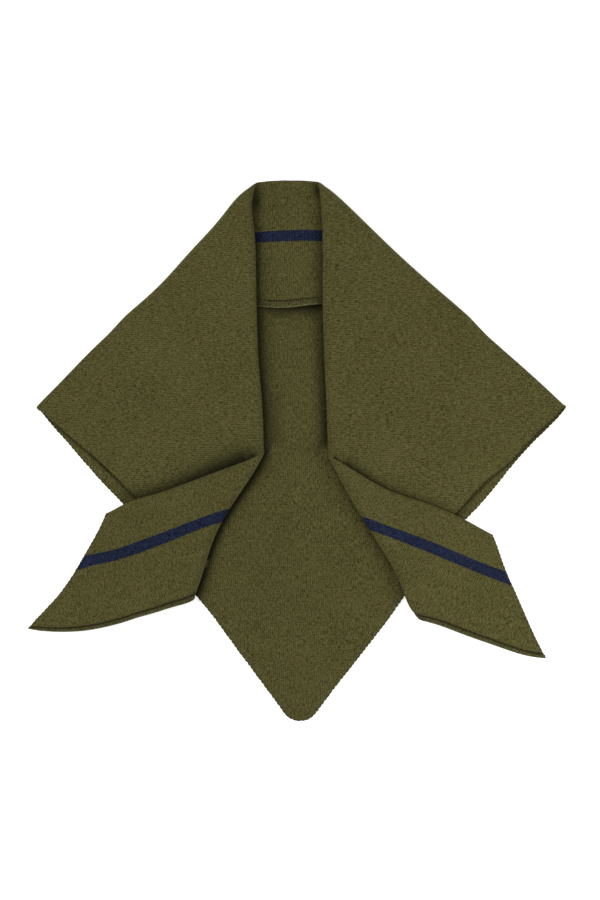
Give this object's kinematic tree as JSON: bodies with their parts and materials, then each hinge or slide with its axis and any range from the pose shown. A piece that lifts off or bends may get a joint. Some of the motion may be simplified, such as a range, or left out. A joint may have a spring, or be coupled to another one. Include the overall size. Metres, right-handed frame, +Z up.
{
  "type": "triangle scarf",
  "caption": "Knitted triangle scarf lying folded: collar turned in, fronts crossed down beside the neck gap, tails turned out, with a navy stripe along the hemmed edge.",
  "frame": {"origin": "centre of the folded scarf's outline, on the surface that it lies on", "axes": "+Z up, away from the surface; +Y from the back corner towards the collar fold; +X to the right as seen from above with the collar at the top"},
  "size_m": [0.5478, 0.5506, 0.0126],
  "materials": {
    "olive_knit": "matt, brushed fine knit in mottled olive wool",
    "navy_knit": "matt, brushed fine knit in navy wool",
    "hem_knit": "matt, tight rolled knit edge in olive wool"
  },
  "bodies": {
    "root": {"knitted_panel": "olive_knit", "edge_band": "olive_knit", "navy_stripe": "navy_knit", "long_edge_hem": "hem_knit"}
  },
  "joints": []
}
